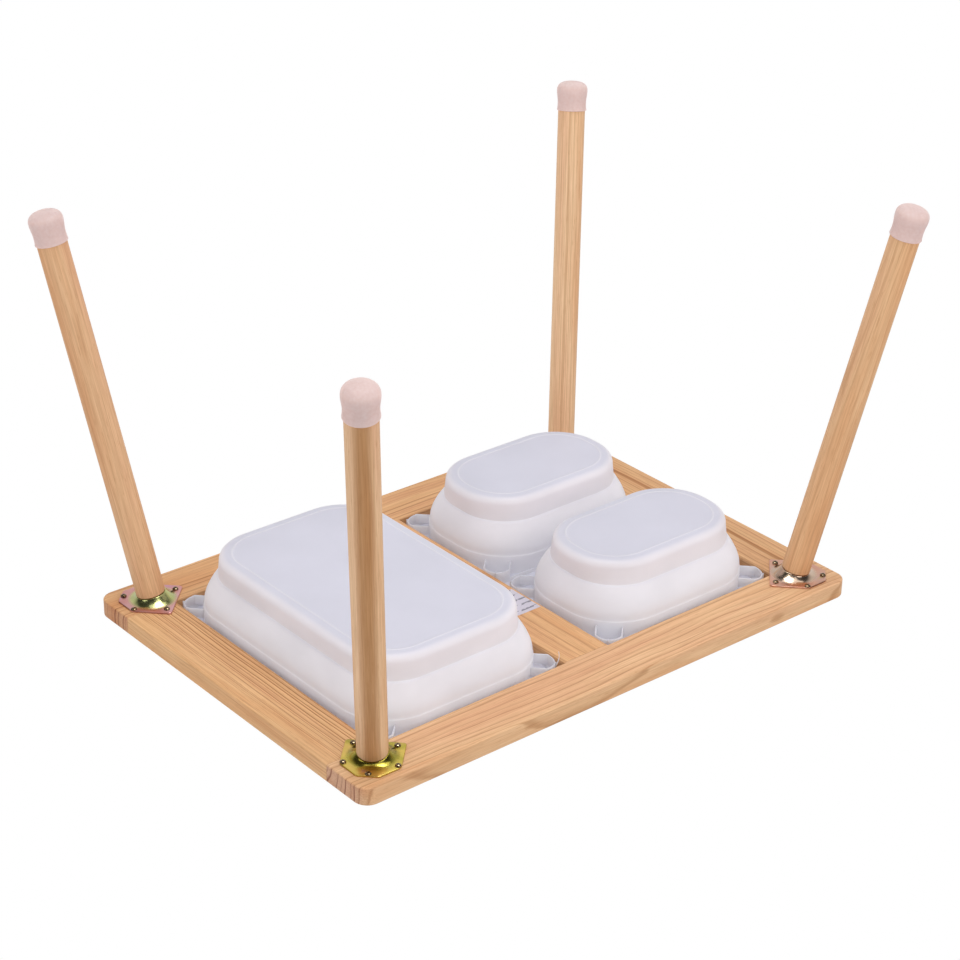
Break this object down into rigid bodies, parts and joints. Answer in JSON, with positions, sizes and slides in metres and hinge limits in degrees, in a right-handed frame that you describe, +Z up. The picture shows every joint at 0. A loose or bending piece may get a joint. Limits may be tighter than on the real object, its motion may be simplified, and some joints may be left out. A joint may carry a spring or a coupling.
{
  "type": "sand and water table",
  "caption": "Low pine play table whose openings hold lift-out plastic bins for sand and water, on splayed round legs with soft foot caps.",
  "frame": {"origin": "centre of the footprint, on the floor under the feet", "axes": "+Z up, +X along the table's long side from the large bin to the small bins, +Y across it towards the back"},
  "size_m": [0.916, 0.692, 0.5689],
  "materials": {
    "pine": "clear satin pine with growth rings, end grain on the long rails' ends",
    "dowel_wood": "plain hardwood",
    "yellow_zinc": "pressed steel, yellow passivated zinc with an iridescent shine",
    "screw_steel": "bright zinc plating",
    "bin_plastic": "milky, slightly translucent polypropylene",
    "silicone": "soft translucent silicone",
    "label_paper": "blank white sticker"
  },
  "bodies": {
    "frame": {"long_rail_front": "pine", "long_rail_back": "pine", "end_rail_left": "pine", "crossbar": "pine", "end_rail_right": "pine", "dowel_front_1": "dowel_wood", "dowel_front_2": "dowel_wood", "dowel_front_3": "dowel_wood", "dowel_front_4": "dowel_wood", "dowel_front_5": "dowel_wood", "dowel_front_6": "dowel_wood", "dowel_back_1": "dowel_wood", "dowel_back_2": "dowel_wood", "dowel_back_3": "dowel_wood", "dowel_back_4": "dowel_wood", "dowel_back_5": "dowel_wood", "dowel_back_6": "dowel_wood", "leg_plate_front_left": "yellow_zinc", "screw_front_left_1": "screw_steel", "screw_front_left_2": "screw_steel", "screw_front_left_3": "screw_steel", "screw_front_left_4": "screw_steel", "screw_front_left_5": "screw_steel", "hanger_bolt_front_left": "screw_steel", "leg_front_left": "pine", "foot_cap_front_left": "silicone", "leg_plate_front_right": "yellow_zinc", "screw_front_right_1": "screw_steel", "screw_front_right_2": "screw_steel", "screw_front_right_3": "screw_steel", "screw_front_right_4": "screw_steel", "screw_front_right_5": "screw_steel", "hanger_bolt_front_right": "screw_steel", "leg_front_right": "pine", "foot_cap_front_right": "silicone", "leg_plate_back_right": "yellow_zinc", "screw_back_right_1": "screw_steel", "screw_back_right_2": "screw_steel", "screw_back_right_3": "screw_steel", "screw_back_right_4": "screw_steel", "screw_back_right_5": "screw_steel", "hanger_bolt_back_right": "screw_steel", "leg_back_right": "pine", "foot_cap_back_right": "silicone", "leg_plate_back_left": "yellow_zinc", "screw_back_left_1": "screw_steel", "screw_back_left_2": "screw_steel", "screw_back_left_3": "screw_steel", "screw_back_left_4": "screw_steel", "screw_back_left_5": "screw_steel", "hanger_bolt_back_left": "screw_steel", "leg_back_left": "pine", "foot_cap_back_left": "silicone", "label": "label_paper"},
    "large_bin": {"large_bin": "bin_plastic"},
    "small_bin_front": {"small_bin_front": "bin_plastic"},
    "small_bin_back": {"small_bin_back": "bin_plastic"}
  },
  "joints": [
    {"name": "large_bin_lift", "type": "slide", "parent": "frame", "child": "large_bin", "axis": [0, 0, 1], "range_m": [0, 0.15]},
    {"name": "small_bin_front_lift", "type": "slide", "parent": "frame", "child": "small_bin_front", "axis": [0, 0, 1], "range_m": [0, 0.15]},
    {"name": "small_bin_back_lift", "type": "slide", "parent": "frame", "child": "small_bin_back", "axis": [0, 0, 1], "range_m": [0, 0.15]}
  ]
}
